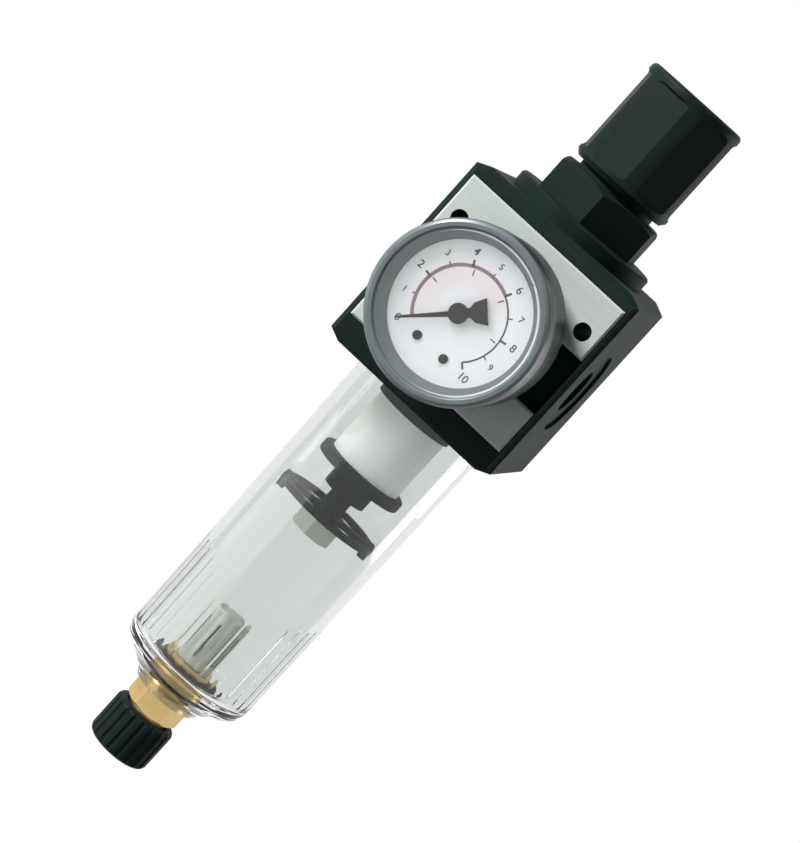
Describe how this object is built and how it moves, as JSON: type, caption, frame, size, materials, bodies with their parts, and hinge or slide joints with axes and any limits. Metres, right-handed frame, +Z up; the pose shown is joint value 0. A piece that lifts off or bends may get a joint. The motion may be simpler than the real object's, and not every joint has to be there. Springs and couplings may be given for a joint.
{
  "type": "filter regulator",
  "caption": "compressed air filter regulator with front pressure gauge, lockable adjusting knob, clear bowl and manual drain",
  "frame": {"origin": "on the flat rear face, midway between the two wall screw holes", "axes": "X along the air line from inlet to outlet, +Y out of the rear face towards the wall, +Z up the stem axis"},
  "size_m": [0.05, 0.0765, 0.2061],
  "materials": {
    "block_paint": "satin",
    "plate_metal": "satin",
    "zinc_steel": "plated",
    "stud_steel": "satin",
    "spring_steel": "bright drawn",
    "brass": "machined",
    "bronze": "drawn",
    "case_paint": "satin",
    "bezel_metal": "semi gloss",
    "liner_paint": "satin",
    "window_clear": "clear",
    "dial_white": "matt",
    "needle_black": "matt",
    "black_plastic": "moulded, matt",
    "knob_black": "moulded, semi gloss",
    "grey_plastic": "moulded",
    "filter_white": "sintered, porous",
    "bowl_clear": "clear moulded plastic",
    "rubber": "matt"
  },
  "bodies": {
    "housing": {"body": "block_paint", "valve_seat": "brass", "front_plate": "plate_metal", "rear_plug": "zinc_steel", "gauge_connection": "brass", "gauge_case": "case_paint", "gauge_bezel": "bezel_metal", "gauge_window": "window_clear", "gauge_liner": "liner_paint", "gauge_dial": "dial_white", "dial_screws": "needle_black", "movement_frame": "brass", "bourdon_tube": "bronze", "bonnet": "black_plastic", "regulating_spring": "spring_steel", "diaphragm": "rubber", "valve_spring": "spring_steel", "filter_holder": "stud_steel", "deflector": "black_plastic", "element_gasket": "rubber", "filter_element": "filter_white", "element_plate": "black_plastic", "baffle": "black_plastic", "baffle_nut": "grey_plastic"},
    "spindle": {"spindle": "zinc_steel", "spindle_circlip": "spring_steel"},
    "knob": {"adjusting_knob": "knob_black"},
    "spring_seat": {"spring_seat": "zinc_steel"},
    "diaphragm_group": {"diaphragm_plate": "zinc_steel", "diaphragm_washer": "zinc_steel"},
    "valve": {"valve_poppet": "brass", "valve_seal": "rubber"},
    "pointer": {"pointer": "needle_black", "pointer_hub": "needle_black"},
    "bowl_seal": {"bowl_o_ring": "rubber"},
    "bowl": {"bowl": "bowl_clear", "drain_body": "brass", "drain_gasket": "rubber", "drain_nut": "brass", "drain_guide": "grey_plastic"},
    "drain_knob": {"drain_knob": "knob_black"},
    "drain_stem": {"drain_stem": "grey_plastic", "drain_seal": "rubber"}
  },
  "joints": [
    {"name": "knob_turn", "type": "hinge", "parent": "housing", "child": "spindle", "pos_m": [0, -0.022, 0.035], "axis": [0, 0, 1], "range_deg": [-1620, 0]},
    {"name": "knob_lock", "type": "slide", "parent": "spindle", "child": "knob", "axis": [0, 0, 1], "range_m": [-0.0014, 0]},
    {"name": "spring_seat_travel", "type": "slide", "parent": "housing", "child": "spring_seat", "axis": [0, 0, 1], "range_m": [-0.00562, 0], "deforming": ["regulating_spring"]},
    {"name": "diaphragm_stroke", "type": "slide", "parent": "housing", "child": "diaphragm_group", "axis": [0, 0, 1], "range_m": [-0.0008, 0], "stiffness_N_per_m": 400, "deforming": ["diaphragm"]},
    {"name": "valve_stroke", "type": "slide", "parent": "housing", "child": "valve", "axis": [0, 0, 1], "range_m": [-0.0008, 0], "deforming": ["valve_spring"]},
    {"name": "pointer_turn", "type": "hinge", "parent": "housing", "child": "pointer", "pos_m": [0, -0.0716, -0.013], "axis": [0, 1, 0], "range_deg": [0, 270], "stiffness_Nm_per_rad": 0.0005},
    {"name": "bowl_travel", "type": "slide", "parent": "housing", "child": "bowl_seal", "axis": [0, 0, 1], "range_m": [-0.009, 0]},
    {"name": "bowl_turn", "type": "hinge", "parent": "bowl_seal", "child": "bowl", "pos_m": [0, -0.022, -0.05], "axis": [0, 0, 1], "range_deg": [-2160, 0]},
    {"name": "drain_turn", "type": "hinge", "parent": "bowl", "child": "drain_knob", "pos_m": [0, -0.022, -0.145], "axis": [0, 0, 1], "range_deg": [-540, 0]},
    {"name": "drain_lift", "type": "slide", "parent": "bowl", "child": "drain_stem", "axis": [0, 0, 1], "range_m": [0, 0.0015]}
  ],
  "couplings": [
    {"joint": "spring_seat_travel", "follows": "knob_turn", "m_per_rad": 0.00019894},
    {"joint": "valve_stroke", "follows": "diaphragm_stroke", "ratio": 1},
    {"joint": "bowl_travel", "follows": "bowl_turn", "m_per_rad": 0.00023873},
    {"joint": "drain_lift", "follows": "drain_turn", "m_per_rad": -0.00015915}
  ]
}
